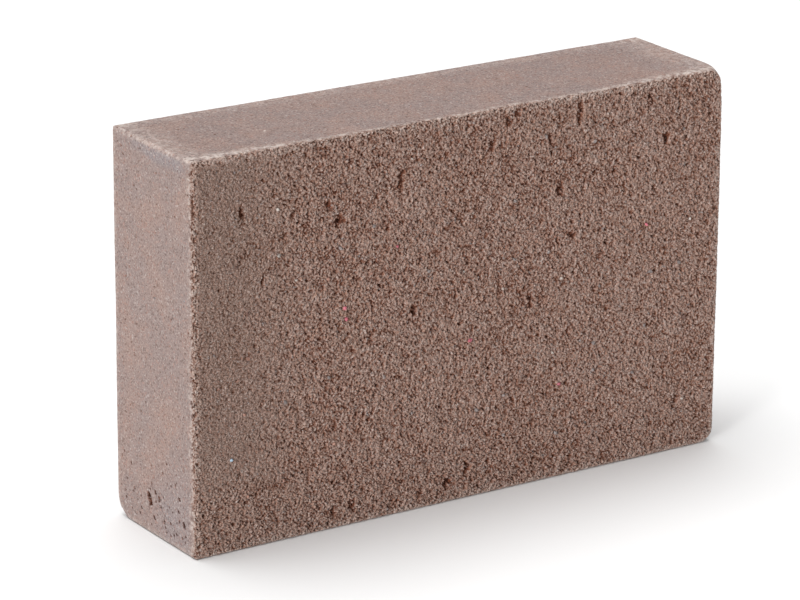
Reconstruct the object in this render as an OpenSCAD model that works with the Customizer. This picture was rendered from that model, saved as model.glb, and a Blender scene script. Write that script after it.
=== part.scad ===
// Abrasive cleaning block: one cast block of grit-filled rubber, standing on a long narrow side.
// The origin is the middle of the base. +X runs along the length, +Y from the open-grained
// working face to the back, and +Z up. Every size is in millimetres.

/* [Block] */
// Length of the block, along X
length = 80; // [70:1:110]
// Thickness from the working face to the back, along Y
thickness = 19.2; // [18:0.2:30]
// Height of the block as it stands, along Z
height = 51.2; // [50:0.2:70]

/* [Moulded edges] */
// Radius of the upper corner at the left end
top_left_radius = 0.4; // [0.3:0.1:3]
// Radius of the upper corner at the right end
top_right_radius = 0.4; // [0.3:0.1:3]
// Radius of the lower corner at the left end
bottom_left_radius = 0.4; // [0.3:0.1:3]
// Radius of the lower corner at the right end
bottom_right_radius = 2.4; // [0.3:0.1:4]
// Radius of the long edge between the base and the back
back_bottom_radius = 3; // [0.5:0.1:4]
// How deep the working face's upper right corner is worn, along its diagonal
worn_depth = 0.9; // [0.5:0.1:1.5]
// How far that wear runs back along the edge of the top
worn_length = 4; // [2:0.5:6]

/* [Pits and blowholes] */
// Depth of a torn pit in the working face
pit_depth = 0.6; // [0.3:0.1:1]
// How much of its radius a blowhole's centre lies under the skin
blowhole_sink = 0.2; // [0:0.1:0.5]

/* [Grit] */
// Spacing of the larger grains over the working face
working_spacing = 6.4; // [5:0.2:10]
// Spacing of the larger grains that show through the moulded skin
skin_spacing = 9; // [8:0.5:14]
// Edge length of a grey or dark grain
coarse_grain = 0.6; // [0.4:0.1:1]
// Edge length of a clear or rust-coloured grain
fine_grain = 0.5; // [0.4:0.1:0.8]
// Edge length of a coloured fleck
fleck_size = 0.4; // [0.3:0.1:0.7]
// Clear margin along every edge of a face
grain_margin = 3; // [2.5:0.5:5]

/* [Hidden] */
$fn = 24;
cut_margin = 1;
seed = 20;

// Torn pits in the working face: x, height above the base, length, width, slant in degrees
torn_pits = [
    [17.3, 48.8, 2.6, 0.9, 0],
    [6.2, 49.2, 1.4, 0.8, 10],
    [28.4, 49.0, 1.5, 0.9, -20],
    [31.1, 43.3, 1.5, 1.0, 0],
    [14.4, 39.3, 1.8, 1.0, 10],
    [16.4, 32.6, 1.2, 0.7, 5],
    [10.0, 24.8, 1.8, 0.7, 0],
    [-7.8, 26.8, 1.6, 0.8, 15],
    [-33.0, 43.6, 2.4, 0.5, -10],
    [-9.9, 44.0, 2.2, 0.7, 5],
    [-19.0, 40.4, 1.6, 0.8, 20],
    [-19.6, 2.6, 1.3, 0.9, 15],
    [-17.1, 2.7, 1.8, 0.9, 5],
    [-2.6, 2.6, 1.6, 1.0, 40],
    [0.3, 3.9, 2.4, 0.9, 0],
    [3.8, 46.6, 1.6, 0.8, 30]
];

// Blowholes in the left end: y, height above the base, radius
blowholes = [
    [1.5, 4.6, 0.6],
    [0.1, 5.9, 0.25],
    [-0.9, 5.3, 0.25],
    [0.0, 4.7, 0.2],
    [-6.9, 3.7, 0.3],
    [-5.6, 5.1, 0.2],
    [-5.8, 6.8, 0.25],
    [0.4, 2.4, 0.25],
    [4.0, 1.9, 0.2],
    [3.6, 2.7, 0.2],
    [5.2, 4.8, 0.2],
    [7.4, 2.9, 0.2],
    [-2.1, 2.5, 0.25],
    [-4.4, 1.6, 0.2],
    [-6.5, 1.9, 0.2]
];

// Coloured flecks in the working face: x, height above the base
red_fleck_places = [[-10.4, 35.7], [-18.2, 29.0], [-18.0, 27.5], [28.1, 32.1], [0.7, 21.3], [14.6, 12.8]];
blue_fleck_places = [[-34.7, 12.2]];

// Larger grains in the left end: y, height above the base
rust_end_places = [[2.8, 30.2], [8.0, 32.4]];
blue_end_places = [[-7.6, 33.2]];

// A place on each face, from its two coordinates
function on_working_face(p) = [p[0], -thickness / 2, p[1]];
function on_back(p) = [p[0], thickness / 2, p[1]];
function on_left_end(p) = [-length / 2, p[0], p[1]];
function on_right_end(p) = [length / 2, p[0], p[1]];
function on_top(p) = [p[0], p[1], height];

// One place in each cell of a grid over the rectangle from low to high
function scattered(low, high, spacing, seed) =
    let (
        columns = floor((high[0] - low[0]) / spacing),
        rows = floor((high[1] - low[1]) / spacing),
        cell = [(high[0] - low[0]) / columns, (high[1] - low[1]) / rows],
        jitter = rands(0.2, 0.8, 2 * columns * rows, seed)
    )
    [for (column = [0 : columns - 1], row = [0 : rows - 1])
        let (n = 2 * (column * rows + row))
        [low[0] + (column + jitter[n]) * cell[0], low[1] + (row + jitter[n + 1]) * cell[1]]];

half_x = length / 2 - grain_margin;
half_y = thickness / 2 - grain_margin;
low_z = grain_margin;
high_z = height - grain_margin;

working_places = scattered([-half_x, low_z], [half_x, high_z], working_spacing, seed + 1);
back_places = scattered([-half_x, low_z], [half_x, high_z], skin_spacing, seed + 2);
left_places = scattered([-half_y, low_z + 6], [half_y, high_z], skin_spacing, seed + 3);
right_places = scattered([-half_y, low_z], [half_y, high_z], skin_spacing, seed + 4);
top_places = scattered([-half_x, -half_y], [half_x, half_y], skin_spacing, seed + 5);

red_places = [for (p = red_fleck_places) on_working_face(p)];
blue_places = concat([for (p = blue_fleck_places) on_working_face(p)],
                     [for (p = blue_end_places) on_left_end(p)]);
rust_places = [for (p = rust_end_places) on_left_end(p)];
face_middles = [on_working_face([0, height / 2]), on_back([0, height / 2]),
                on_left_end([0, height / 2]), on_right_end([0, height / 2]), on_top([0, 0])];

// True where nothing else in the surface lies within the gap
function is_free(place, others, gap) = len([for (other = others) if (norm(other - place) < gap) 1]) == 0;

taken_places = concat(red_places, blue_places, rust_places, face_middles,
                      [for (hole = blowholes) on_left_end(hole)],
                      [for (pit = torn_pits) on_working_face(pit)]);
grain_places = [for (place = concat([for (p = working_places) on_working_face(p)],
                                    [for (p = back_places) on_back(p)],
                                    [for (p = left_places) on_left_end(p)],
                                    [for (p = right_places) on_right_end(p)],
                                    [for (p = top_places) on_top(p)]))
                if (is_free(place, taken_places, 2.5)) place];
grain_draw = rands(0, 1, len(grain_places), seed);

// The places whose draw falls between two shares
function share(low, high) = [for (i = [0 : len(grain_places) - 1])
                             if (grain_draw[i] >= low && grain_draw[i] < high) grain_places[i]];

// What is cut away to round a corner whose tip is at the origin
module corner_cut(radius) {
    difference() {
        translate([-cut_margin, -cut_margin]) square(radius + cut_margin);
        translate([radius, radius]) circle(radius);
    }
}

// What is worn away from the upper right corner of the working face: a slice tilted to the diagonal
module worn_corner() {
    translate([length / 2, -thickness / 2, height])
        rotate([0, -45, 0])
            linear_extrude(4 * worn_length, center = true)
                polygon([[-2 * worn_depth, -worn_length], [worn_depth, 2 * worn_length],
                         [worn_depth, -worn_length]]);
}

// Outline of the block seen square on to the working face
module face_outline() {
    difference() {
        translate([-length / 2, 0]) square([length, height]);
        translate([-length / 2, 0]) corner_cut(bottom_left_radius);
        translate([-length / 2, height]) mirror([0, 1]) corner_cut(top_left_radius);
        translate([length / 2, 0]) mirror([1, 0]) corner_cut(bottom_right_radius);
        translate([length / 2, height]) rotate(180) corner_cut(top_right_radius);
    }
}

// Outline of the block seen from an end, with the working face at the left
module end_outline() {
    difference() {
        translate([-thickness / 2, 0]) square([thickness, height]);
        translate([thickness / 2, 0]) mirror([1, 0]) corner_cut(back_bottom_radius);
    }
}

module moulded_shape() {
    difference() {
        intersection() {
            translate([0, thickness / 2, 0]) rotate([90, 0, 0]) linear_extrude(thickness) face_outline();
            translate([-length / 2, 0, 0]) rotate([90, 0, 90]) linear_extrude(length) end_outline();
        }
        worn_corner();
    }
}

// A pit torn out of the working face, as a short row of overlapping round bites
module torn_pit(pit) {
    width = pit[3];
    radius = (width * width / 4 + pit_depth * pit_depth) / (2 * pit_depth);
    reach = pit[2] - width;
    bites = max(2, ceil(reach / (0.5 * width)) + 1);
    translate(on_working_face(pit))
        rotate([0, pit[4], 0])
            for (i = [0 : bites - 1])
                translate([0, pit_depth - radius, reach * (i / (bites - 1) - 0.5)]) sphere(radius);
}

module blowhole(hole) {
    translate(on_left_end(hole)) translate([blowhole_sink * hole[2], 0, 0]) sphere(hole[2]);
}

// Angular grains of about one size, each turned its own way
module grains(places, size, turn_seed) {
    turns = rands(0, 90, 3 * len(places), turn_seed);
    stretches = rands(0.8, 1.2, 3 * len(places), turn_seed + 1);
    for (i = [0 : len(places) - 1])
        translate(places[i])
            rotate([turns[3 * i], turns[3 * i + 1], turns[3 * i + 2]])
                cube(size * [stretches[3 * i], stretches[3 * i + 1], stretches[3 * i + 2]], center = true);
}

module grey_grains() grains(share(0, 0.4), coarse_grain, seed + 10);
module dark_grains() grains(share(0.4, 0.7), coarse_grain, seed + 20);
module clear_grains() grains(share(0.7, 0.85), fine_grain, seed + 30);
module rust_grains() grains(concat(rust_places, share(0.85, 1)), fine_grain, seed + 40);
module red_grains() grains(red_places, fleck_size, seed + 50);
module blue_grains() grains(blue_places, fleck_size, seed + 60);

// Keeps what lies inside the block's faces, so that a grain ends flush with the surface
module flush() {
    intersection() {
        children();
        translate([-length / 2, -thickness / 2, 0]) cube([length, thickness, height]);
    }
}

module bonded_block() {
    color([0.59, 0.48, 0.43])
        difference() {
            moulded_shape();
            for (pit = torn_pits) torn_pit(pit);
            for (hole = blowholes) blowhole(hole);
            grey_grains();
            dark_grains();
            clear_grains();
            rust_grains();
            red_grains();
            blue_grains();
        }
}

module grey_grit() {
    color([0.53, 0.49, 0.47]) flush() grey_grains();
}

module dark_grit() {
    color([0.38, 0.27, 0.24]) flush() dark_grains();
}

module clear_grit() {
    color([0.74, 0.71, 0.69]) flush() clear_grains();
}

module rust_grit() {
    color([0.62, 0.45, 0.38]) flush() rust_grains();
}

module red_flecks() {
    color([0.68, 0.35, 0.40]) flush() red_grains();
}

module blue_flecks() {
    color([0.64, 0.74, 0.81]) flush() blue_grains();
}

bonded_block();
grey_grit();
dark_grit();
clear_grit();
rust_grit();
red_flecks();
blue_flecks();
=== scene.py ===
"""A cast abrasive block of grit-filled rubber: smooth moulded skin all round, and one open-grained
working face of crumbs, torn pits and mineral grains. The shapes are worked out in millimetres and
become metres when a mesh is made."""

import math
from types import SimpleNamespace

import bmesh
import bpy
import numpy as np
from bpy.props import FloatProperty, FloatVectorProperty, IntProperty, PointerProperty
from bpy.types import Operator, Panel, PropertyGroup
from mathutils import Matrix, Vector


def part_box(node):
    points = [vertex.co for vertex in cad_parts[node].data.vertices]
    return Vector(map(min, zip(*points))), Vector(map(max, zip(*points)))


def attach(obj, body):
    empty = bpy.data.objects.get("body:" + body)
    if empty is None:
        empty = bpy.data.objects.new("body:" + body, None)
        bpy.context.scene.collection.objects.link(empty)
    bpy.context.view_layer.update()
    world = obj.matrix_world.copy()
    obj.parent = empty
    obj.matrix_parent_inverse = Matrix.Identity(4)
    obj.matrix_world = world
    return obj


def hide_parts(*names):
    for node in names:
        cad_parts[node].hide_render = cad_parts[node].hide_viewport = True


bl_info = {
    "name": "Abrasive cleaning block",
    "version": (1, 0, 0),
    "blender": (4, 5, 0),
    "location": "View3D > Sidebar > Cleaning block",
    "description": "Builds a cast block of grit-filled rubber with an open-grained working face",
    "category": "Add Mesh",
}

MM = 0.001
# Height, in millimetres, that stands for no dome at all
ABSENT = -9.0
# How near a side a point counts as part of it, in millimetres
AT_SIDE = 0.3
# Gap between the base and the floor, in millimetres, so that the two don't coincide
FLOOR_GAP = 0.03
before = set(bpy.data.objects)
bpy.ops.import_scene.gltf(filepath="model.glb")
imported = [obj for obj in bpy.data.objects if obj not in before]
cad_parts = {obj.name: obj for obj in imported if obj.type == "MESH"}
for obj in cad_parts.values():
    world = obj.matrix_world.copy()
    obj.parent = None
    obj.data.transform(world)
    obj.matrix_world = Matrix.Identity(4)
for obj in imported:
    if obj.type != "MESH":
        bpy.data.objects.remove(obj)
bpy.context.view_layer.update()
BLOCK_LOW, BLOCK_HIGH = [[value / MM for value in corner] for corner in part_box("bonded_block")]
FACE_LOW, FACE_HIGH = (BLOCK_LOW[0], BLOCK_LOW[2]), (BLOCK_HIGH[0], BLOCK_HIGH[2])
SIDES = ("working", "back", "left", "right", "base", "top")

# Torn pits in the working face: x, height above the base, length, width, slant in degrees
TORN_PITS = (
    (17.3, 48.8, 2.8, 0.8, 0),
    (6.2, 49.2, 1.4, 0.9, 10),
    (28.4, 49.0, 1.5, 0.9, -20),
    (31.1, 43.3, 1.5, 1.0, 0),
    (14.4, 39.3, 1.8, 1.0, 10),
    (16.4, 32.6, 1.3, 0.7, 5),
    (10.0, 24.8, 1.8, 0.6, 0),
    (-7.8, 26.8, 1.6, 0.8, 15),
    (-40.2, 45.5, 1.7, 1.1, 0),
    (-33.0, 43.6, 2.4, 0.5, -10),
    (-9.9, 44.0, 2.2, 0.7, 5),
    (-19.0, 40.4, 1.6, 0.8, 20),
    (-19.6, 2.6, 1.3, 0.9, 15),
    (-17.1, 2.7, 1.8, 0.9, 5),
    (-2.6, 2.6, 1.6, 1.0, 40),
    (0.3, 3.9, 2.6, 0.9, 0),
    (3.8, 46.6, 1.6, 0.8, 30),
)

# Blowholes in the left end: y, height above the base, half width, half height
BLOWHOLES = (
    (1.5, 4.6, 0.5, 0.85),
    (0.1, 5.9, 0.26, 0.34),
    (-0.9, 5.3, 0.28, 0.34),
    (0.0, 4.7, 0.18, 0.2),
    (-6.9, 3.7, 0.34, 0.5),
    (-5.6, 5.1, 0.2, 0.22),
    (-5.8, 6.8, 0.24, 0.26),
    (0.4, 2.4, 0.25, 0.28),
    (4.0, 1.9, 0.2, 0.2),
    (3.6, 2.7, 0.2, 0.22),
    (5.2, 4.8, 0.18, 0.2),
    (7.4, 2.9, 0.18, 0.2),
    (-2.1, 2.5, 0.22, 0.22),
    (-4.4, 1.6, 0.2, 0.22),
    (-6.5, 1.9, 0.2, 0.2),
)


# ---------------------------------------------------------------- settings


def millimetres(name, description, default, low=0.0, high=200.0):
    """A length setting, given here in millimetres and stored in metres."""
    return FloatProperty(
        name=name,
        description=description,
        default=default * MM,
        min=low * MM,
        max=high * MM,
        precision=5,
        subtype="DISTANCE",
        unit="LENGTH",
    )


def colour(name, description, default):
    """A colour setting in linear values."""
    return FloatVectorProperty(
        name=name, description=description, default=default, size=3, subtype="COLOR", min=0, max=1
    )


class BlockSizes(PropertyGroup):
    """Sizes of the cast block."""

    pitch: millimetres("Mesh pitch", "Spacing of the mesh over the block", 0.1, 0.05, 1.0)
    top_left: millimetres("Top left radius", "Upper corner at the left end", 0.4)
    top_right: millimetres("Top right radius", "Upper corner of the working face at the right", 2.0)
    bottom_left: millimetres("Bottom left radius", "Lower corner at the left end", 0.4)
    bottom_right: millimetres("Bottom right radius", "Lower corner at the right end", 2.4)
    back_bottom: millimetres("Back bottom radius", "Long edge between base and back", 3.0)
    mould_edge: millimetres("Moulded edge radius", "Every other moulded edge", 0.25)
    rim_edge: millimetres("Rim radius", "Edges round the working face", 0.3)
    end_lean: millimetres("End lean", "How far the right end leans in at its upper front corner", 0.4)
    lean_height: millimetres("Lean height", "Height over which the right end leans in", 8.0)
    crumb: millimetres("Crumb radius", "Radius of the crumbs of the working face", 0.12, 0.1, 1.0)
    crumb_spread: millimetres("Crumb spread", "Unevenness of the crumbs' tops", 0.07)
    pit_depth: millimetres("Pit depth", "Depth of a torn pit", 0.5)
    fray: millimetres("Fray", "Width of the crumbly rim on the skin round the working face", 0.9)


def in_millimetres(settings):
    """The block's size settings as plain numbers in millimetres."""
    return SimpleNamespace(**{name: getattr(settings, name) / MM for name in BlockSizes.__annotations__})


class GritCounts(PropertyGroup):
    """How many small grains of each kind show in the working face."""

    grey: IntProperty(name="Grey grains", description="Small grey grains", default=1500, min=0)
    dark: IntProperty(name="Dark grains", description="Small dark grains", default=750, min=0)
    clear: IntProperty(name="Clear grains", description="Small glassy grains", default=260, min=0)
    rust: IntProperty(name="Rust grains", description="Small rust grains", default=500, min=0)


class BlockColours(PropertyGroup):
    """Colours of the block and of its grains."""

    skin: colour("Skin", "Moulded skin", (0.236, 0.177, 0.162))
    working: colour("Working face", "Crumbs of the working face", (0.328, 0.218, 0.178))
    salmon: colour("Salmon crumb", "Warmer crumbs", (0.33, 0.20, 0.152))
    ash: colour("Ash crumb", "Greyer crumbs", (0.375, 0.275, 0.24))
    smeared: colour("Smeared binder", "Less torn part of the working face", (0.205, 0.135, 0.108))
    # Pale dust on rims and on the top, also painted along every edge as a highlight
    dust_and_highlight: colour("Dust_and_highlight", "Dust on edges and rims", (0.50, 0.425, 0.385))
    # Painted shade: a bluish shade painted on the skin under the top edge
    painted_shade: colour("Bluish_shade", "Bluish bloom on the skin under the top edge", (0.21, 0.19, 0.20))
    grey: colour("Grey grain", "Grey mineral grains", (0.24, 0.20, 0.19))
    dark: colour("Dark grain", "Dark mineral grains", (0.12, 0.06, 0.045))
    clear: colour("Clear grain", "Glassy grains", (0.47, 0.41, 0.37))
    rust: colour("Rust grain", "Rust-coloured grains", (0.31, 0.17, 0.13))
    red: colour("Red fleck", "Pink-red flecks", (0.50, 0.13, 0.17))
    blue: colour("Blue fleck", "Pale blue flecks", (0.28, 0.37, 0.45))


class StageSettings(PropertyGroup):
    """Floor and lights."""

    floor: colour("Floor", "Plain pale floor", (0.80, 0.80, 0.80))
    key: FloatProperty(name="Key light", description="Strength of the key light", default=2.58)
    fill: FloatProperty(name="Fill light", description="Strength of the fill light", default=0.4)
    top: FloatProperty(name="Top light", description="Strength of the light from above", default=3.22)
    sky: FloatProperty(name="Sky", description="Strength of the even light all round", default=0.24)


# ---------------------------------------------------------------- noise


def smooth_noise(u, v, size, seed):
    """Even noise from -1 to 1 over the points u, v, with blobs about size across."""
    rng = np.random.default_rng(seed)
    table = rng.uniform(-1.0, 1.0, (256, 256))
    a, b = u / size + 70.0, v / size + 70.0
    column, row = np.floor(a).astype(int), np.floor(b).astype(int)
    s, t = a - column, b - row
    s, t = s * s * (3.0 - 2.0 * s), t * t * (3.0 - 2.0 * t)
    corner = [[table[(column + i) % 256, (row + j) % 256] for j in (0, 1)] for i in (0, 1)]
    low = corner[0][0] * (1 - s) + corner[1][0] * s
    high = corner[0][1] * (1 - s) + corner[1][1] * s
    return low * (1 - t) + high * t


def ramp(value, low, high):
    """Smooth step from 0 at low to 1 at high."""
    t = np.clip((value - low) / (high - low), 0.0, 1.0)
    return t * t * (3.0 - 2.0 * t)


class DomeLayer:
    """A bed of round domes, one in each cell of a jittered grid, some of them missing."""

    def __init__(self, pitch, radius, level, spread, presence, seed):
        rng = np.random.default_rng(seed)
        low, high = np.array(FACE_LOW) - 12.0, np.array(FACE_HIGH) + 12.0
        cells = tuple(np.ceil((high - low) / pitch).astype(int))
        self.pitch, self.low = pitch, low
        self.radius = radius * rng.uniform(0.6, 1.5, cells)
        self.tint = rng.random(cells)
        self.at = (np.indices(cells) + rng.uniform(0.0, 1.0, (2,) + cells)) * pitch + low[:, None, None]
        self.top = level + rng.normal(0.0, spread, cells)
        self.top += np.where(rng.random(cells) > presence(*self.at), ABSENT, 0.0)

    def heights(self, u, v):
        """Height and tint of the layer at the points u, v. It is very low where no dome reaches."""
        column = np.floor((u - self.low[0]) / self.pitch).astype(int)
        row = np.floor((v - self.low[1]) / self.pitch).astype(int)
        best, tint = np.full(u.shape, ABSENT), np.zeros(u.shape)
        for step in np.ndindex(3, 3):
            cell = (column + step[0] - 1, row + step[1] - 1)
            near = ((u - self.at[0][cell]) ** 2 + (v - self.at[1][cell]) ** 2) / self.radius[cell] ** 2
            dome = self.radius[cell] * (np.sqrt(np.clip(1.0 - near, 0.0, 1.0)) - 1.0)
            height = np.where(near < 1.0, self.top[cell] + dome, ABSENT)
            higher = height > best
            best = np.where(higher, height, best)
            tint = np.where(higher, self.tint[cell], tint)
        return best, tint


class WorkingFace:
    """Relief of the open-grained face, in millimetres out from its plane, at any x and height."""

    def __init__(self, sizes):
        rng = np.random.default_rng(7)
        self.pits = [pit + (sizes.pit_depth,) for pit in TORN_PITS]
        small_pits = 32
        for place in rng.random((small_pits, 5)):
            x = BLOCK_LOW[0] + 9.0 + place[0] * (BLOCK_HIGH[0] - BLOCK_LOW[0] - 10.0)
            z = 1.0 + place[1] ** 0.8 * (BLOCK_HIGH[2] - 2.0)
            length, width = 0.7 + 1.0 * place[2] ** 2, 0.35 + 0.35 * place[3]
            self.pits.append((x, z, length, width, 50.0 * place[4] - 20.0, 0.6 * sizes.pit_depth))
        crumb, spread = sizes.crumb, sizes.crumb_spread
        self.crumbs = [
            DomeLayer(1.7 * crumb, crumb, 0.0, spread, lambda x, v: 0.85, 11),
            DomeLayer(1.5 * crumb, 0.9 * crumb, -1.2 * spread, spread, lambda x, v: 0.95, 12),
        ]
        self.pockets = [
            DomeLayer(0.4, 0.09, 0.14, 0.05, lambda x, v: self.openness(x, v) + 0.1, 14),
            DomeLayer(0.85, 0.14, 0.22, 0.06, lambda x, v: self.openness(x, v) - 0.15, 15),
            DomeLayer(1.7, 0.15, 0.28, 0.08, lambda x, v: self.openness(x, v) - 0.3, 16),
        ]

    def rim_share(self, x, z):
        """From 0 to 1, how near the point is to the face's outline. Outside the outline it is 1."""
        from_side = np.minimum(x - BLOCK_LOW[0], BLOCK_HIGH[0] - x)
        from_end = np.minimum(z - BLOCK_LOW[2], BLOCK_HIGH[2] - z)
        return 1.0 - ramp(np.minimum(from_side, from_end), 0.3, 1.2)

    def torn_share(self, x, z):
        """From 0 to 1, how far the face is torn open: less near its left end, except low down
        and all round its rim."""
        across = ramp(x, BLOCK_LOW[0] + 4.0, BLOCK_LOW[0] + 18.0)
        low_down = 0.8 * (1.0 - ramp(z, BLOCK_LOW[2] + 3.0, BLOCK_LOW[2] + 15.0))
        return np.maximum(np.maximum(across, low_down), self.rim_share(x, z))

    def openness(self, x, z):
        """Chance of a pocket where a crumb has dropped out: it varies in patches."""
        patches = 0.72 + 0.12 * smooth_noise(x, z, 3.5, 31)
        return patches * (0.35 + 0.65 * self.torn_share(x, z)) + 0.2 * self.rim_share(x, z)

    def torn(self, x, z):
        """Depth of the torn pits, with a raised lip on one side of each."""
        down = np.zeros(x.shape)
        for pit_x, pit_z, length, width, slant, depth in self.pits:
            close = np.nonzero(np.hypot(x - pit_x, z - pit_z) < length + 0.5)
            dx, dz = x[close] - pit_x, z[close] - pit_z
            turn = math.radians(slant)
            across = dx * math.cos(turn) - dz * math.sin(turn)
            along = dx * math.sin(turn) + dz * math.cos(turn)
            away = np.hypot(across / (0.6 * width), along / (0.6 * length))
            lip = np.exp(-(((across - 0.6 * width - 0.25) / 0.25) ** 2) - 3.0 * (along / length) ** 2)
            ragged = np.clip(0.65 + 0.8 * smooth_noise(x[close], z[close], 0.35, 29), 0.0, 1.2)
            hollow = depth * ragged * (1.0 - ramp(away, 0.5, 1.2))
            down[close] = np.maximum(down[close], hollow) - 0.12 * depth * lip
        return down

    def heights(self, x, z):
        """Height out from the face's plane and the tint of the crumb there."""
        warp = (smooth_noise(x, z, 0.35, 21), smooth_noise(x, z, 0.35, 22))
        u, v = x + 0.07 * warp[0], z + 0.07 * warp[1]
        best, tint = np.full(x.shape, -0.2), np.full(x.shape, 0.5)
        for layer in self.crumbs:
            height, shade = layer.heights(u, v)
            tint = np.where(height > best, shade, tint)
            best = np.maximum(best, height)
        taller = 1.1
        for layer in self.pockets:
            depth, _ = layer.heights(u, v / taller)
            best -= np.clip(depth, 0.0, None)
        clumps = 0.02 * smooth_noise(x, z, 2.4, 26) + 0.03 * smooth_noise(x, z, 1.1, 24)
        clumps += 0.07 * smooth_noise(x, z, 0.5, 27)
        calm = 0.5 + 0.5 * self.torn_share(x, z)
        grain = 0.09 * smooth_noise(x, z, 0.16, 28)
        best = (best + clumps) * calm + grain + 0.03 * smooth_noise(x, z, 7.0, 23)
        return best - self.torn(x + 0.3 * warp[0], z + 0.3 * warp[1]), tint


class MouldedSkin:
    """Relief of the moulded sides: slight waviness, fine grain and a scatter of pinholes."""

    def __init__(self):
        self.pinholes = DomeLayer(1.2, 0.1, 0.15, 0.05, self.openness, 61)

    def openness(self, u, v):
        """Chance of a pinhole: it varies in patches."""
        return 0.3 + 0.25 * smooth_noise(u, v, 5.0, 62)

    def heights(self, u, v, seed):
        """Height out from the side at the points u, v of it."""
        wave = 0.03 * smooth_noise(u, v, 7.0, seed) + 0.012 * smooth_noise(u, v, 1.5, seed + 1)
        grain = 0.008 * smooth_noise(u, v, 0.45, seed + 2) + 0.006 * smooth_noise(u, v, 0.22, seed + 3)
        depth, _ = self.pinholes.heights(u + 1.7 * (seed % 7), v)
        return wave + grain - np.clip(depth, 0.0, None)


def blowhole_relief(y, z):
    """Depth of the burst bubbles in the left end, as negative heights. They lean back, and a crowd of
    tiny ones gathers near the base."""
    height = np.zeros(y.shape)
    lean, tiny_holes = 0.35, 45
    holes = list(BLOWHOLES)
    for a, b, c in np.random.default_rng(63).random((tiny_holes, 3)):
        holes.append((16.0 * a - 8.0, 1.2 + 8.0 * b**1.3, 0.1 + 0.07 * c, 0.11 + 0.1 * c))
    for hole_y, hole_z, half_width, half_height in holes:
        across, along = y - hole_y - lean * (z - hole_z), z - hole_z
        away = np.hypot(across / half_width, along / half_height)
        bowl = np.sqrt(np.clip(1.0 - away**2, 0.0, 1.0))
        height = np.minimum(height, -2.0 * half_width * bowl)
    return height


# ---------------------------------------------------------------- block mesh


def spaced(low, high, pitch, fine_end=0.0, fine=1.0):
    """Grid lines from low to high, closer by the factor fine over the first fine_end millimetres."""
    if not fine_end:
        return np.linspace(low, high, int(round((high - low) / pitch)) + 1)
    first = np.linspace(low, low + fine_end, int(round(fine_end / (pitch * fine))) + 1)
    rest = np.linspace(low + fine_end, high, int(round((high - low - fine_end) / pitch)) + 1)
    return np.concatenate([first, rest[1:]])


def round_edge(a, b, low_a, low_b, side_a, side_b, radius):
    """Moves points near one edge of a box, in the plane across it, so that the edge is an arc."""
    da = radius - (a - low_a) * side_a
    db = radius - (b - low_b) * side_b
    inside = (da > 0) & (db > 0)
    scale = np.where(inside, np.maximum(da, db) / np.maximum(np.hypot(da, db), 1e-9), 1.0)
    a = np.where(inside, a + (da - da * scale) * side_a, a)
    b = np.where(inside, b + (db - db * scale) * side_b, b)
    return a, b


class BlockGrid:
    """The block's surface as a box-shaped grid of points, with the rows of faces on its six sides."""

    def __init__(self, sizes):
        pitch = sizes.pitch * 1.0
        x = spaced(BLOCK_LOW[0], BLOCK_HIGH[0], pitch)
        y = spaced(BLOCK_LOW[1], BLOCK_HIGH[1], pitch * 1.15)
        z = spaced(BLOCK_LOW[2], BLOCK_HIGH[2], pitch, 8.0, 0.7)
        shape = (len(x), len(y), len(z))
        on_surface = np.zeros(shape, bool)
        for axis in range(3):
            rows = np.moveaxis(on_surface, axis, 0)
            rows[0] = rows[-1] = True
        number = np.full(shape, -1)
        number[on_surface] = np.arange(on_surface.sum())
        i, j, k = np.nonzero(on_surface)
        self.x, self.y, self.z = x[i], y[j], z[k]
        self.sheets = {
            "working": number[:, 0, :],
            "back": number[::-1, -1, :],
            "left": number[0, ::-1, :],
            "right": number[-1, :, :],
            "base": number[:, ::-1, 0],
            "top": number[:, :, -1],
        }

    def faces(self):
        """Corner numbers of every face, side by side, and the side that each belongs to."""
        quads, sides = [], []
        for side, name in enumerate(SIDES):
            sheet = self.sheets[name]
            around = (sheet[:-1, :-1], sheet[1:, :-1], sheet[1:, 1:], sheet[:-1, 1:])
            corners = np.stack(around, -1).reshape(-1, 4)
            quads.append(corners)
            sides.append(np.full(len(corners), side))
        return np.concatenate(quads), np.concatenate(sides)


def atlas(x, y, z, quads, sides):
    """A flat layout of the six sides on one square, as the place of each face corner."""
    length, thick, height = (BLOCK_HIGH[i] - BLOCK_LOW[i] for i in range(3))
    gap = 1.0
    x, y = x - BLOCK_LOW[0], y - BLOCK_LOW[1]
    side_width = length + 2 * thick + 2 * gap
    scale = 1.0 / max(side_width, height + length + gap)
    places = {
        "working": (x, z),
        "left": (length + gap + thick - y, z),
        "right": (length + thick + 2 * gap + y, z),
        "back": (length - x, height + gap + z),
        "base": (length + gap + y, height + gap + x),
        "top": (length + thick + 2 * gap + y, height + gap + x),
    }
    table = np.stack([np.stack(places[name], -1) for name in SIDES])
    return table[sides[:, None], quads] * scale


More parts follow.
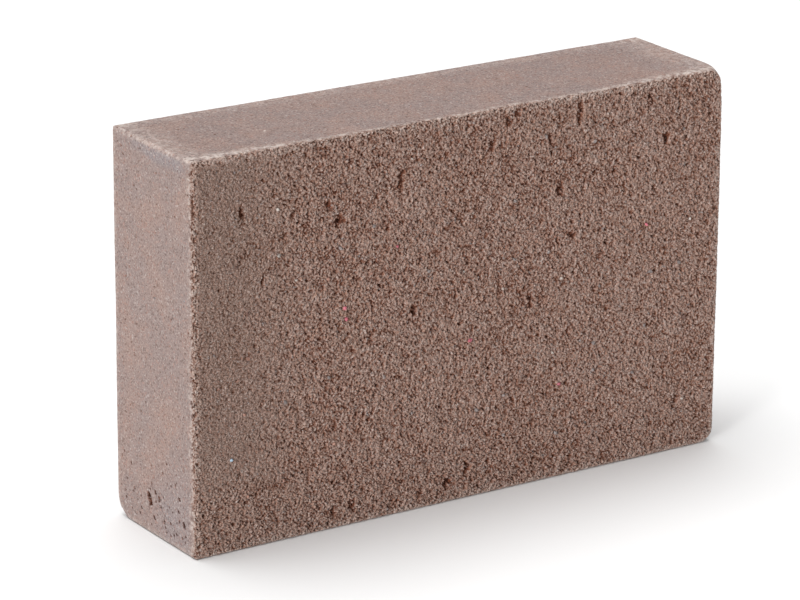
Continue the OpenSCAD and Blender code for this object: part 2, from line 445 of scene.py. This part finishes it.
def shape_block(grid, sizes):
    """The grid's points as a rounded block, before any relief."""
    x, y, z = grid.x.copy(), grid.y.copy(), grid.z.copy()
    left, right = BLOCK_LOW[0], BLOCK_HIGH[0]
    front, back = BLOCK_LOW[1], BLOCK_HIGH[1]
    top = BLOCK_HIGH[2]
    x, z = round_edge(x, z, left, top, 1, -1, sizes.top_left)
    worn = np.clip(1.0 - (y - front) / 4.0, 0.0, 1.0)
    corner = sizes.mould_edge + (sizes.top_right - sizes.mould_edge) * worn**3
    x, z = round_edge(x, z, right, top, -1, -1, corner)
    x, z = round_edge(x, z, left, 0.0, 1, 1, sizes.bottom_left)
    x, z = round_edge(x, z, right, 0.0, -1, 1, sizes.bottom_right)
    y, z = round_edge(y, z, back, top, -1, -1, sizes.mould_edge)
    x, y = round_edge(x, y, left, back, 1, -1, sizes.mould_edge)
    x, y = round_edge(x, y, right, back, -1, -1, sizes.mould_edge)
    y, z = round_edge(y, z, back, 0.0, -1, 1, sizes.back_bottom)
    y, z = round_edge(y, z, front, 0.0, 1, 1, sizes.rim_edge)
    y, z = round_edge(y, z, front, top, 1, -1, sizes.rim_edge)
    x, y = round_edge(x, y, left, front, 1, 1, sizes.rim_edge)
    x, y = round_edge(x, y, right, front, -1, 1, sizes.rim_edge)
    rise = np.clip((grid.z - (top - sizes.lean_height)) / sizes.lean_height, 0.0, 1.0)
    x -= sizes.end_lean * worn * rise**2 * ramp(grid.x, right - 20.0, right)
    return x, y, z


def edge_distance(grid):
    """Distance from each point of the grid to each of the six sides."""
    return {
        "working": grid.y - BLOCK_LOW[1],
        "back": BLOCK_HIGH[1] - grid.y,
        "left": grid.x - BLOCK_LOW[0],
        "right": BLOCK_HIGH[0] - grid.x,
        "base": grid.z - BLOCK_LOW[2],
        "top": BLOCK_HIGH[2] - grid.z,
    }


def unrolled(grid, away):
    """Places in the working face's plane, with the narrow sides folded flat beyond its outline."""
    out = away["working"]
    past_right = np.where(away["right"] < AT_SIDE, out, 0.0)
    past_left = np.where(away["left"] < AT_SIDE, out, 0.0)
    past_top = np.where(away["top"] < AT_SIDE, out, 0.0)
    past_base = np.where(away["base"] < AT_SIDE, out, 0.0)
    return grid.x + past_right - past_left, grid.z + past_top - past_base


def painted_shade_mask(grid, away):
    """Where the left end gets a painted bluish shade: in a band under its top edge, where shade falls, and
    the same bluish tone low down at the front.
    """
    out = away["working"]
    foot = 0.6 + 0.5 * smooth_noise(grid.y, grid.z, 3.0, 44)
    band = ramp(away["top"], 0.3, 0.7) * (1.0 - ramp(away["top"], 0.7 + foot, 1.8 + foot))
    band *= ramp(out, 0.5, 4.0) * (1.0 - ramp(out, 10.0, 19.0))
    low_corner = (1.0 - ramp(np.hypot(out - 3.0, 0.8 * away["base"]), 2.0, 12.0)) * ramp(out, 0.5, 2.0)
    return np.maximum(band, 0.8 * low_corner) * (1.0 - ramp(away["left"], 0.0, 0.3))


def dust_mask(grid, away):
    """Where the top and the left end are paled: dusted along the top's edges, widest near its ends, thinly
    dusted on the left end, and a little paler over the top towards its left end.
    """
    from_corner = np.minimum(away["left"], 0.7 * away["right"])
    width = 1.3 + 1.9 * ramp(np.abs(grid.x), 18.0, 36.0)
    bands = 1.0 - ramp(away["working"], 0.2 * width, width)
    bands += 0.35 * (1.0 - ramp(away["back"], 0.5, 3.5))
    # The last term makes the top a little paler towards its left end
    bands += 0.4 * (1.0 - ramp(from_corner, 1.0, 5.0)) + 0.04 * (1.0 - ramp(grid.x, -10.0, 30.0))
    on_top = np.clip(bands, 0.0, 1.0) * (1.0 - ramp(away["top"], 0.0, 0.5))
    return np.maximum(on_top, 0.1 * (1.0 - ramp(away["left"], 0.0, 0.5)))


def sculpt_block(grid, sizes):
    """Final points of the block, and the masks that its material reads."""
    working, skin = WorkingFace(sizes), MouldedSkin()
    away = edge_distance(grid)
    out = away["working"]
    points = np.stack(shape_block(grid, sizes), -1)
    open_x, open_z = unrolled(grid, away)

    # How crumbly the skin is beside the working face: the right end and the base hardly fray
    fray = sizes.fray * (1.0 + 0.6 * smooth_noise(open_x, open_z, 1.4, 41))
    shares = {"left": 1.0, "right": 0.1, "base": 0.1, "top": 1.0, "back": 0.0}
    frayed = np.ones(len(points))
    for name, share in shares.items():
        frayed = np.where(away[name] < AT_SIDE, np.minimum(frayed, share), frayed)
    crumbly = (1.0 - ramp(out, 0.3 * fray, fray)) * frayed

    # Crumbs and pits of the working face
    near_face = 1.0 - ramp(out, 0.05, 0.5)
    relief, tint = np.zeros(len(points)), np.full(len(points), 0.5)
    close = np.nonzero(out < 1.7 * sizes.fray)[0]
    relief[close], tint[close] = working.heights(open_x[close], open_z[close])
    outline = ramp(away["right"], 0.0, 0.6) * ramp(away["base"], 0.0, 0.6)
    points[:, 1] -= relief * near_face * (0.3 + 0.7 * outline)
    # Painted shade: the hollows of the working face and of its crumbly rim are marked here, to be painted
    # darker and redder where shade falls
    hollow_shade = np.maximum(ramp(-relief, 0.1, 0.45) * near_face, ramp(-relief, 0.05, 0.25) * crumbly)

    # Moulded skin of the other sides, each with its own outward direction and its own two axes
    skins = {
        "left": ((-1, 0, 0), grid.y, grid.z),
        "right": ((1, 0, 0), grid.y, grid.z),
        "base": ((0, 0, -1), grid.x, grid.y),
        "top": ((0, 0, 1), grid.x, grid.y),
        "back": ((0, 1, 0), grid.x, grid.z),
    }
    for seed, (name, (outward, u, v)) in enumerate(skins.items()):
        here = np.nonzero(away[name] < AT_SIDE)[0]
        height = skin.heights(u[here], v[here], 50 + 5 * seed)
        if name == "left":
            height += blowhole_relief(u[here], v[here])
        # Painted shade: pores and blowholes of the skin are marked to be painted dark, as the shade inside
        # them
        pore_shade = 1.3 * ramp(-height, 0.05, 0.33) * (1.0 - near_face[here])
        hollow_shade[here] = np.maximum(hollow_shade[here], pore_shade)
        height += np.minimum(relief[here], 0.05) * crumbly[here]
        if name == "base":
            height = np.minimum(height, 0.0)
        height *= 1.0 - ramp(away[name][here], 0.0, 0.3)
        points[here] += height[:, None] * np.array(outward, float)
    points[:, 2] = np.maximum(points[:, 2], BLOCK_LOW[2])

    from_edge = np.sort(np.stack(list(away.values())), axis=0)[1]
    masks = {
        "working": near_face,
        "tint": tint,
        # Painted shade in hollows, pores and blowholes
        "hollow_shade": hollow_shade,
        # Pale along every edge: edge wear and a painted edge highlight
        "edge": 1.0 - ramp(from_edge, 0.2, 1.1),
        "rim": (1.0 - ramp(out, 0.5 * fray, 1.6 * fray)) * working.rim_share(open_x, open_z),
        # Painted bluish shade on the left end
        "painted_shade": painted_shade_mask(grid, away),
        "dusty": dust_mask(grid, away),
        "smooth": 1.0 - working.torn_share(grid.x, grid.z),
    }
    return points, masks


def new_mesh(name, points, quads, masks=None, places=None, smooth=True):
    """A mesh object from points in millimetres and faces of four corners each."""
    mesh = bpy.data.meshes.new(name)
    mesh.vertices.add(len(points))
    mesh.vertices.foreach_set("co", (points * MM).astype(np.float32).ravel())
    mesh.loops.add(quads.size)
    mesh.loops.foreach_set("vertex_index", quads.astype(np.int32).ravel())
    mesh.polygons.add(len(quads))
    mesh.polygons.foreach_set("loop_start", np.arange(0, quads.size, quads.shape[1], dtype=np.int32))
    mesh.polygons.foreach_set("use_smooth", np.full(len(quads), smooth))
    for mask, values in (masks or {}).items():
        layer = mesh.attributes.new(mask, "FLOAT", "POINT")
        layer.data.foreach_set("value", values.astype(np.float32))
    if places is not None:
        layer = mesh.uv_layers.new(name="OFBake", do_init=False)
        layer.uv.foreach_set("vector", places.astype(np.float32).ravel())
    mesh.update(calc_edges=True)
    piece = bpy.data.objects.new(name, mesh)
    bpy.context.scene.collection.objects.link(piece)
    return piece


# ---------------------------------------------------------------- node helpers


class Nodes:
    """Adds nodes to one tree and joins them, so that a material reads as a short list."""

    def __init__(self, tree):
        self.tree = tree

    def add(self, kind, inputs=None, **options):
        """A new node with the given options, and a value or a link for each named input."""
        node = self.tree.nodes.new(kind)
        for option, value in options.items():
            setattr(node, option, value)
        for socket, value in (inputs or {}).items():
            self.feed(node.inputs[socket], value)
        return node

    def feed(self, socket, value):
        """Links a socket to another, or sets its value."""
        if isinstance(value, bpy.types.NodeSocket):
            self.tree.links.new(value, socket)
        else:
            socket.default_value = value

    def maths(self, operation, a, b):
        """The result of one operation on two values."""
        return self.add("ShaderNodeMath", {0: a, 1: b}, operation=operation).outputs[0]

    def blend(self, share, a, b, kind="MIX"):
        """Colour a with the given share of colour b over it."""
        node = self.add("ShaderNodeMix", data_type="RGBA", blend_type=kind)
        for socket, value in zip((0, 6, 7), (share, a, b)):
            self.feed(node.inputs[socket], value)
        return node.outputs[2]

    def span(self, value, low, high, new_low=0.0, new_high=1.0):
        """The value carried over from one range to another, held to that range."""
        node = self.add(
            "ShaderNodeMapRange",
            {"Value": value, "From Min": low, "From Max": high, "To Min": new_low, "To Max": new_high},
        )
        return node.outputs[0]

    def mask(self, name):
        """A mask stored on the mesh."""
        return self.add("ShaderNodeAttribute", attribute_name=name).outputs["Fac"]


def group_tree(name, inputs, outputs):
    """An empty shader node group with the named sockets, and its input and output nodes."""
    tree = bpy.data.node_groups.new(name, "ShaderNodeTree")
    for socket, (kind, default) in inputs.items():
        made = tree.interface.new_socket(socket, in_out="INPUT", socket_type=kind)
        made.default_value = default
    for socket, kind in outputs.items():
        tree.interface.new_socket(socket, in_out="OUTPUT", socket_type=kind)
    return tree, tree.nodes.new("NodeGroupInput"), tree.nodes.new("NodeGroupOutput")


def rgba(value):
    """A colour setting with full alpha."""
    return (*value, 1.0)


def mineral_group():
    """Fine mineral speckle: raises a colour to a power that varies from grain to grain, so that dark grains
    turn redder and light ones greyer, and paints shade, darker and redder, where its hollow share is set; it
    adds a few odd grains, and gives a height."""
    if "Mineral speckle" in bpy.data.node_groups:
        return bpy.data.node_groups["Mineral speckle"]
    tree, source, target = group_tree(
        "Mineral speckle",
        {
            "Color": ("NodeSocketColor", (0.5, 0.5, 0.5, 1.0)),
            "Grain": ("NodeSocketFloat", 0.00025),
            "Contrast": ("NodeSocketFloat", 0.3),
            "Specks": ("NodeSocketFloat", 0.5),
            "Shade_in_hollows": ("NodeSocketFloat", 0.0),
        },
        {"Color": "NodeSocketColor", "Height": "NodeSocketFloat"},
    )
    nodes = Nodes(tree)
    place = nodes.add("ShaderNodeTexCoord").outputs["Object"]
    scale = nodes.maths("DIVIDE", 1.0, source.outputs["Grain"])
    cloud = nodes.add("ShaderNodeTexNoise", {"Vector": place, "Scale": scale, "Detail": 2.0}).outputs[0]
    cells = nodes.add("ShaderNodeTexVoronoi", {"Vector": place, "Scale": scale})
    draw = nodes.add("ShaderNodeSeparateColor", {0: cells.outputs["Color"]})
    share = source.outputs["Specks"]
    dark_speck = nodes.maths("MULTIPLY", nodes.span(draw.outputs[0], 0.86, 0.9), share)
    light_speck = nodes.maths("MULTIPLY", nodes.span(draw.outputs[1], 0.93, 0.96), share)
    warm_speck = nodes.maths("MULTIPLY", nodes.span(draw.outputs[2], 0.9, 0.92), share)
    tone = nodes.maths("MULTIPLY", nodes.span(cloud, 0.3, 0.7, 1.0, -1.0), source.outputs["Contrast"])
    power = nodes.maths("ADD", nodes.maths("ADD", tone, 1.0), nodes.maths("MULTIPLY", dark_speck, 0.9))
    # Painted shade: the hollow share darkens the colour further and, below, tints it redder
    power = nodes.maths("ADD", power, nodes.maths("MULTIPLY", source.outputs["Shade_in_hollows"], 1.2))
    shaded = nodes.add("ShaderNodeGamma", {"Color": source.outputs["Color"], "Gamma": power}).outputs[0]
    tinted = nodes.blend(source.outputs["Shade_in_hollows"], shaded, (1.0, 0.72, 0.6, 1.0), "MULTIPLY")
    tinted = nodes.blend(warm_speck, tinted, (0.36, 0.17, 0.12, 1.0))
    tinted = nodes.blend(light_speck, tinted, (0.52, 0.48, 0.455, 1.0))
    nodes.feed(target.inputs["Color"], tinted)
    nodes.feed(target.inputs["Height"], cloud)
    return tree


def new_material(name):
    """An empty material with a principled shader, and the helper that adds to its tree."""
    material = bpy.data.materials.new(name)
    material.use_nodes = True
    nodes = Nodes(material.node_tree)
    shader = material.node_tree.nodes["Principled BSDF"]
    return material, nodes, shader


def speckled(nodes, base, hollow, grain, contrast, specks):
    """The mineral speckle group laid over a colour, with its grain in metres."""
    speckle = nodes.add("ShaderNodeGroup", node_tree=mineral_group())
    nodes.feed(speckle.inputs["Color"], base)
    # The hollow share is painted shade: it darkens and reddens the colour
    nodes.feed(speckle.inputs["Shade_in_hollows"], hollow)
    speckle.inputs["Grain"].default_value = grain
    speckle.inputs["Contrast"].default_value = contrast
    speckle.inputs["Specks"].default_value = specks
    return speckle


def block_material(colours):
    """Grit-filled rubber: greyer dusty skin, browner crumbs on the working face, pale edges that are partly
    wear and partly a painted highlight, painted shade in hollows, and a painted bluish shade under the left
    end's top edge.
    """
    material, nodes, shader = new_material("Grit-filled rubber")
    place = nodes.add("ShaderNodeTexCoord").outputs["Object"]
    working, tint = nodes.mask("working"), nodes.mask("tint")

    crumbs = nodes.blend(nodes.span(tint, 0.62, 0.8), rgba(colours.working), rgba(colours.salmon))
    crumbs = nodes.blend(nodes.span(tint, 0.3, 0.12), crumbs, rgba(colours.ash))
    crumbs = nodes.blend(nodes.maths("MULTIPLY", nodes.mask("smooth"), 0.7), crumbs, rgba(colours.smeared))
    broad = nodes.add("ShaderNodeTexNoise", {"Vector": place, "Scale": 220.0, "Detail": 3.0}).outputs[0]
    skin = nodes.blend(nodes.span(broad, 0.4, 0.65, 0.0, 0.28), rgba(colours.skin), rgba(colours.salmon))
    # Painted shade: the bluish shade under the left end's top edge is painted into the skin colour
    skin = nodes.blend(nodes.maths("MULTIPLY", nodes.mask("painted_shade"), 0.6), skin, rgba(colours.painted_shade))
    patchy = nodes.add("ShaderNodeTexNoise", {"Vector": place, "Scale": 1400.0, "Detail": 4.0}).outputs[0]
    patchy = nodes.span(patchy, 0.35, 0.65)
    # Dust on the top and rims, and a painted highlight along every edge
    worn = nodes.maths("MAXIMUM", nodes.maths("MULTIPLY", nodes.mask("edge"), 0.5), nodes.mask("dusty"))
    worn = nodes.maths("MAXIMUM", worn, nodes.maths("MULTIPLY", nodes.mask("rim"), 0.7))
    worn = nodes.maths("MULTIPLY", worn, nodes.span(patchy, 0.2, 0.8, 0.1, 1.0))
    skin = nodes.blend(worn, skin, rgba(colours.dust_and_highlight))
    dusting = nodes.maths("MULTIPLY", nodes.mask("rim"), nodes.span(patchy, 0.0, 1.0, 0.0, 0.5))
    crumbs = nodes.blend(dusting, crumbs, rgba(colours.dust_and_highlight))

    # Painted shade: hollows, pores and blowholes are darkened and reddened in the colour, and their specular
    # is lowered
    hollow_shade = nodes.mask("hollow_shade")
    fine = speckled(nodes, crumbs, nodes.maths("MULTIPLY", hollow_shade, 0.6), 0.00015, 0.39, 0.3)
    soft = speckled(nodes, skin, hollow_shade, 0.00022, 0.17, 0.3)
    surface = nodes.blend(working, soft.outputs["Color"], fine.outputs["Color"])
    nodes.feed(shader.inputs["Base Color"], surface)
    nodes.feed(shader.inputs["Roughness"], nodes.span(patchy, 0.0, 1.0, 0.78, 0.95))
    bump = nodes.add("ShaderNodeBump", {"Height": fine.outputs["Height"], "Distance": 0.0001})
    bump.inputs["Strength"].default_value = 1.0
    nodes.feed(shader.inputs["Normal"], bump.outputs["Normal"])
    nodes.feed(shader.inputs["Specular IOR Level"], nodes.span(hollow_shade, 0.0, 0.5, 0.3, 0.0))
    return material


def grain_material(name, tone, roughness, specular=0.5):
    """Fractured mineral: one hue that varies from grain to grain and within each."""
    material, nodes, shader = new_material(name)
    place = nodes.add("ShaderNodeTexCoord").outputs["Object"]
    vary = nodes.add("ShaderNodeTexNoise", {"Vector": place, "Scale": 1100.0, "Detail": 1.0}).outputs[0]
    darker = tuple(0.6 * value for value in tone) + (1.0,)
    lighter = tuple(min(1.3 * value, 0.95) for value in tone) + (1.0,)
    tones = nodes.blend(nodes.span(vary, 0.3, 0.7), darker, lighter)
    speckle = speckled(nodes, tones, 0.0, 0.00012, 0.25, 0.1)
    nodes.feed(shader.inputs["Base Color"], speckle.outputs["Color"])
    nodes.feed(shader.inputs["Roughness"], nodes.span(vary, 0.3, 0.7, roughness - 0.1, roughness + 0.1))
    shader.inputs["Specular IOR Level"].default_value = specular
    return material


# ---------------------------------------------------------------- grains


def cad_grain_places(node):
    """Centre and size of each separate grain of a CAD node, in millimetres."""
    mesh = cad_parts[node].data
    shape = bmesh.new()
    shape.from_mesh(mesh)
    bmesh.ops.remove_doubles(shape, verts=shape.verts, dist=1e-7)
    places, seen = [], set()
    for start in shape.verts:
        if start.index in seen:
            continue
        island, queue = [], [start]
        seen.add(start.index)
        while queue:
            vertex = queue.pop()
            island.append(vertex.co / MM)
            for edge in vertex.link_edges:
                other = edge.other_vert(vertex)
                if other.index not in seen:
                    seen.add(other.index)
                    queue.append(other)
        low = Vector(map(min, *island))
        high = Vector(map(max, *island))
        places.append(((low + high) / 2, max(high - low)))
    shape.free()
    return places


def grain_shape(rng):
    """Points and faces of one angular grain about one unit across."""
    shape = bmesh.new()
    bmesh.ops.create_icosphere(shape, subdivisions=1, radius=0.5)
    points = np.array([vertex.co[:] for vertex in shape.verts])
    faces = np.array([[vertex.index for vertex in face.verts] for face in shape.faces])
    shape.free()
    points *= rng.uniform(0.75, 1.2, (len(points), 1))
    points *= rng.uniform(0.7, 1.2, 3)
    return points, faces


def random_turn(rng):
    """A rotation matrix with no favoured direction."""
    turn, _ = np.linalg.qr(rng.normal(size=(3, 3)))
    return turn * np.sign(np.linalg.det(turn))


def build_grains(name, node, material, small, size, seed, working, bared=0.65):
    """All grains of one kind: the larger ones of the CAD node, with the share of each that is bared,
    and small ones in the working face."""
    rng = np.random.default_rng(seed)
    shapes = [grain_shape(rng) for _ in range(12)]
    centres = []
    for centre, across in cad_grain_places(node):
        place = np.array(centre)
        if place[1] < BLOCK_LOW[1] + 0.5:
            lift, _ = working.heights(place[:1], place[2:3])
            place[1] = BLOCK_LOW[1] - lift[0] - 0.1 * across
        centres.append((place, bared * across))
    margin = 0.6
    low, high = np.array(FACE_LOW) + margin, np.array(FACE_HIGH) - margin
    xs, zs = (low + rng.random((small, 2)) * (high - low)).T
    lifts, _ = working.heights(xs, zs)
    for x, z, lift, draw in zip(xs, zs, lifts, rng.random(small)):
        across = size * (0.55 + 0.75 * draw)
        centres.append((np.array([x, BLOCK_LOW[1] - lift + 0.15 * across, z]), across))
    points, faces, count = [], [], 0
    for place, across in centres:
        shape, corners = shapes[rng.integers(len(shapes))]
        points.append(shape @ random_turn(rng).T * across + place)
        faces.append(corners + count)
        count += len(shape)
    piece = new_mesh(name, np.concatenate(points), np.concatenate(faces), smooth=False)
    piece.data.materials.append(material)
    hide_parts(node)
    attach(piece, "root")
    return piece


# ---------------------------------------------------------------- operators


class BLOCK_OT_cast_block(Operator):
    """Builds the cast block with its moulded skin, blowholes and open-grained working face"""

    bl_idname = "cleaning_block.cast_block"
    bl_label = "Cast block"

    def execute(self, context):
        sizes = in_millimetres(context.scene.block_sizes)
        grid = BlockGrid(sizes)
        quads, sides = grid.faces()
        points, masks = sculpt_block(grid, sizes)
        places = atlas(grid.x, grid.y, grid.z, quads, sides)
        piece = new_mesh("cast_block", points, quads, masks, places)
        piece.data.materials.append(block_material(context.scene.block_colours))
        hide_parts("bonded_block")
        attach(piece, "root")
        return {"FINISHED"}


class BLOCK_OT_mineral_grit(Operator):
    """Builds the grey, dark, clear and rust-coloured mineral grains"""

    bl_idname = "cleaning_block.mineral_grit"
    bl_label = "Mineral grit"

    def execute(self, context):
        counts, colours = context.scene.grit_counts, context.scene.block_colours
        working = WorkingFace(in_millimetres(context.scene.block_sizes))
        kinds = (
            ("grey", "grey_grain", counts.grey, colours.grey, 0.7, 0.4, 0.24, 101),
            ("dark", "dark_grain", counts.dark, colours.dark, 0.5, 0.5, 0.22, 102),
            ("clear", "clear_grain", counts.clear, colours.clear, 0.3, 0.6, 0.14, 103),
            ("rust", "rust_grain", counts.rust, colours.rust, 0.75, 0.4, 0.24, 104),
        )
        for kind, slot, count, tone, roughness, specular, size, seed in kinds:
            material = grain_material(f"{kind.capitalize()} mineral", tuple(tone), roughness, specular)
            node = f"{kind}_grit"
            build_grains(f"{kind}_grains", node, material, count, size, seed, working)
        return {"FINISHED"}


class BLOCK_OT_coloured_flecks(Operator):
    """Builds the few pink-red and pale blue flecks"""

    bl_idname = "cleaning_block.coloured_flecks"
    bl_label = "Coloured flecks"

    def execute(self, context):
        colours = context.scene.block_colours
        working = WorkingFace(in_millimetres(context.scene.block_sizes))
        for kind, tone, bared, seed in (("red", colours.red, 1.0, 111), ("blue", colours.blue, 0.65, 112)):
            material = grain_material(f"{kind.capitalize()} fleck", tuple(tone), 0.6)
            node = f"{kind}_flecks"
            name, slot = f"{kind}_fleck_grains", f"{kind}_fleck"
            build_grains(name, node, material, 0, 0.0, seed, working, bared)
        return {"FINISHED"}


class BLOCK_OT_stage(Operator):
    """Builds the floor, the lights and the camera"""

    bl_idname = "cleaning_block.stage"
    bl_label = "Stage"

    def execute(self, context):
        stage = context.scene.block_stage
        scene = context.scene
        self.floor(stage)
        self.sun(scene, "Key light", Vector((-0.85, -0.42, 0.14)), stage.key, 14.0)
        self.sun(scene, "Top light", Vector((-0.1, 0.15, 1.0)), stage.top, 50.0)
        self.sun(scene, "Fill light", Vector((0.7, 0.5, 0.5)), stage.fill, 60.0)
        self.sky(scene, stage)
        self.camera(scene)
        scene.view_settings.view_transform = "Standard"
        return {"FINISHED"}

    def floor(self, stage):
        """A large plain floor just under the block's base."""
        half = 3000.0
        corners = np.array([[-half, -half], [half, -half], [half, half], [-half, half]])
        corners = np.column_stack([corners, np.full(4, BLOCK_LOW[2] - FLOOR_GAP)])
        floor = new_mesh("floor", corners, np.array([[0, 1, 2, 3]]))
        material, nodes, shader = new_material("Pale floor")
        cloud = nodes.add("ShaderNodeTexNoise", {"Scale": 3.0, "Detail": 2.0}).outputs[0]
        darker = tuple(0.97 * value for value in stage.floor) + (1.0,)
        nodes.feed(shader.inputs["Base Color"], nodes.blend(cloud, darker, rgba(stage.floor)))
        shader.inputs["Roughness"].default_value = 0.9
        floor.data.materials.append(material)

    def sun(self, scene, name, source, strength, spread):
        """A broad even light from the direction of source, its spread in degrees."""
        lamp = bpy.data.lights.new(name, "SUN")
        lamp.energy, lamp.angle = strength, math.radians(spread)
        light = bpy.data.objects.new(name, lamp)
        light.rotation_euler = (-source).to_track_quat("-Z", "Y").to_euler()
        scene.collection.objects.link(light)

    def sky(self, scene, stage):
        """Even pale light from all round."""
        scene.world = bpy.data.worlds.new("Studio")
        scene.world.use_nodes = True
        background = scene.world.node_tree.nodes["Background"]
        background.inputs["Color"].default_value = (1.0, 1.0, 1.0, 1.0)
        background.inputs["Strength"].default_value = stage.sky

    def camera(self, scene):
        """A long lens that looks down on the left end, the top and the working face."""
        lens = bpy.data.cameras.new("Camera")
        lens.sensor_width, lens.lens = 36.0, 190.7
        lens.clip_start, lens.clip_end = 0.05, 50.0
        yaw, pitch, roll = (math.radians(angle) for angle in (33.35, -18.48, 0.37))
        forward = Vector((math.sin(yaw) * math.cos(pitch), math.cos(yaw) * math.cos(pitch), math.sin(pitch)))
        right = Vector((math.cos(yaw), -math.sin(yaw), 0.0))
        up = right.cross(forward)
        level = Matrix((right, up, -forward)).transposed()
        camera = bpy.data.objects.new("Camera", lens)
        camera.matrix_world = Matrix.Translation((-0.2862, -0.4293, 0.1965)) @ (
            level @ Matrix.Rotation(roll, 3, "Z")
        ).to_4x4()
        scene.collection.objects.link(camera)
        scene.camera = camera


class BLOCK_PT_panel(Panel):
    """Lists the settings and the steps that build the block"""

    bl_idname = "BLOCK_PT_panel"
    bl_label = "Cleaning block"
    bl_space_type = "VIEW_3D"
    bl_region_type = "UI"
    bl_category = "Cleaning block"

    def draw(self, context):
        layout = self.layout
        for name in SETTINGS:
            box = layout.box()
            group = getattr(context.scene, name)
            for field in type(group).__annotations__:
                box.prop(group, field)
        for step in STEPS:
            layout.operator(step.bl_idname)


SETTINGS = {
    "block_sizes": BlockSizes,
    "grit_counts": GritCounts,
    "block_colours": BlockColours,
    "block_stage": StageSettings,
}
STEPS = (BLOCK_OT_cast_block, BLOCK_OT_mineral_grit, BLOCK_OT_coloured_flecks, BLOCK_OT_stage)


def register():
    """Adds the classes and the settings to the session."""
    for kind in (*SETTINGS.values(), *STEPS, BLOCK_PT_panel):
        bpy.utils.register_class(kind)
    for name, kind in SETTINGS.items():
        setattr(bpy.types.Scene, name, PointerProperty(type=kind))


def unregister():
    """Takes the settings and the classes away again."""
    for name in SETTINGS:
        delattr(bpy.types.Scene, name)
    for kind in reversed((*SETTINGS.values(), *STEPS, BLOCK_PT_panel)):
        bpy.utils.unregister_class(kind)


def main():
    """Builds everything in order."""
    register()
    bpy.ops.cleaning_block.cast_block()
    bpy.ops.cleaning_block.mineral_grit()
    bpy.ops.cleaning_block.coloured_flecks()
    bpy.ops.cleaning_block.stage()


if __name__ == "__main__":
    main()
